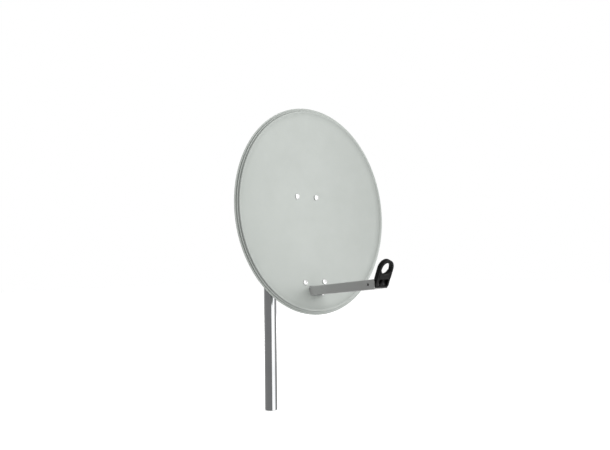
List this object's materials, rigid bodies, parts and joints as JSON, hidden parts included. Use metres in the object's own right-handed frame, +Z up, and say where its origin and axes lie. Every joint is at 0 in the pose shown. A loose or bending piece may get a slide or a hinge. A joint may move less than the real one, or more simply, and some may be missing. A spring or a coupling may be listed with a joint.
{
  "type": "satellite dish",
  "caption": "Offset satellite dish with a pressed reflector, feed arm and clamp-ring holder on an adjustable azimuth and elevation mount, clamped to a round mast.",
  "frame": {"origin": "centre of the mast's open bottom end", "axes": "+Z up along the mast, the dish faces -Y and beams slightly upward, +X to the right of a viewer who faces the front of the dish"},
  "size_m": [0.7103, 0.7423, 1.1816],
  "materials": {
    "mast_steel": "bright galvanised tube, mirror-like with faint drawing lines",
    "reflector_coat": "light grey powder coat, fine orange peel, satin",
    "galvanised_steel": "galvanised sheet with a soft spangle",
    "zinc_steel": "bright zinc plated",
    "bolt_chrome": "polished zinc, bright",
    "arm_steel": "mid grey coated steel, satin",
    "black_plastic": "moulded, fine grain",
    "holder_plastic": "glass-filled black nylon, satin",
    "black_steel": "black oxide",
    "rivet_aluminium": "plain aluminium"
  },
  "bodies": {
    "mast": {"mast_tube": "mast_steel", "mast_cap": "black_plastic"},
    "azimuth_head": {"mast_yoke": "galvanised_steel", "upper_front_jaw": "galvanised_steel", "lower_front_jaw": "galvanised_steel", "clamp_bolts": "zinc_steel", "pivot_bolt": "zinc_steel", "pivot_washers": "zinc_steel", "pivot_nut": "zinc_steel"},
    "upper_rear_clamp": {"upper_rear_jaw": "galvanised_steel", "upper_clamp_washers": "zinc_steel", "upper_clamp_nuts": "zinc_steel"},
    "lower_rear_clamp": {"lower_rear_jaw": "galvanised_steel", "lower_clamp_washers": "zinc_steel", "lower_clamp_nuts": "zinc_steel"},
    "dish": {"reflector": "reflector_coat", "left_side_plate": "galvanised_steel", "right_side_plate": "galvanised_steel", "bridge_plate": "galvanised_steel", "bridge_rivets": "rivet_aluminium", "reflector_bolts": "bolt_chrome", "reflector_washers": "zinc_steel", "reflector_nuts": "zinc_steel", "feed_arm": "arm_steel", "arm_end_plug": "black_plastic", "arm_bolts": "zinc_steel", "arm_washers": "zinc_steel", "arm_nuts": "zinc_steel", "pivot_spacer": "zinc_steel", "elevation_lock_bolts": "zinc_steel", "elevation_lock_washers": "zinc_steel", "elevation_lock_nuts": "zinc_steel", "lnb_holder_base": "holder_plastic", "holder_cross_bolt": "black_steel", "holder_cross_nut": "black_steel", "strap_screws": "black_steel"},
    "lnb_clamp_strap": {"lnb_strap": "holder_plastic", "strap_nuts": "zinc_steel"}
  },
  "joints": [
    {"name": "azimuth_swivel", "type": "hinge", "parent": "mast", "child": "azimuth_head", "pos_m": [0, 0, 0.7], "axis": [0, 0, 1], "continuous": true},
    {"name": "elevation_tilt", "type": "hinge", "parent": "azimuth_head", "child": "dish", "pos_m": [0, -0.12, 0.7], "axis": [-1, 0, 0], "range_deg": [-18, 22]},
    {"name": "upper_jaw_release", "type": "slide", "parent": "azimuth_head", "child": "upper_rear_clamp", "axis": [0, 1, 0], "range_m": [0, 0.012]},
    {"name": "lower_jaw_release", "type": "slide", "parent": "azimuth_head", "child": "lower_rear_clamp", "axis": [0, 1, 0], "range_m": [0, 0.012]},
    {"name": "lnb_strap_release", "type": "slide", "parent": "dish", "child": "lnb_clamp_strap", "axis": [0, -0.3933, 0.9194], "range_m": [0, 0.01]}
  ]
}
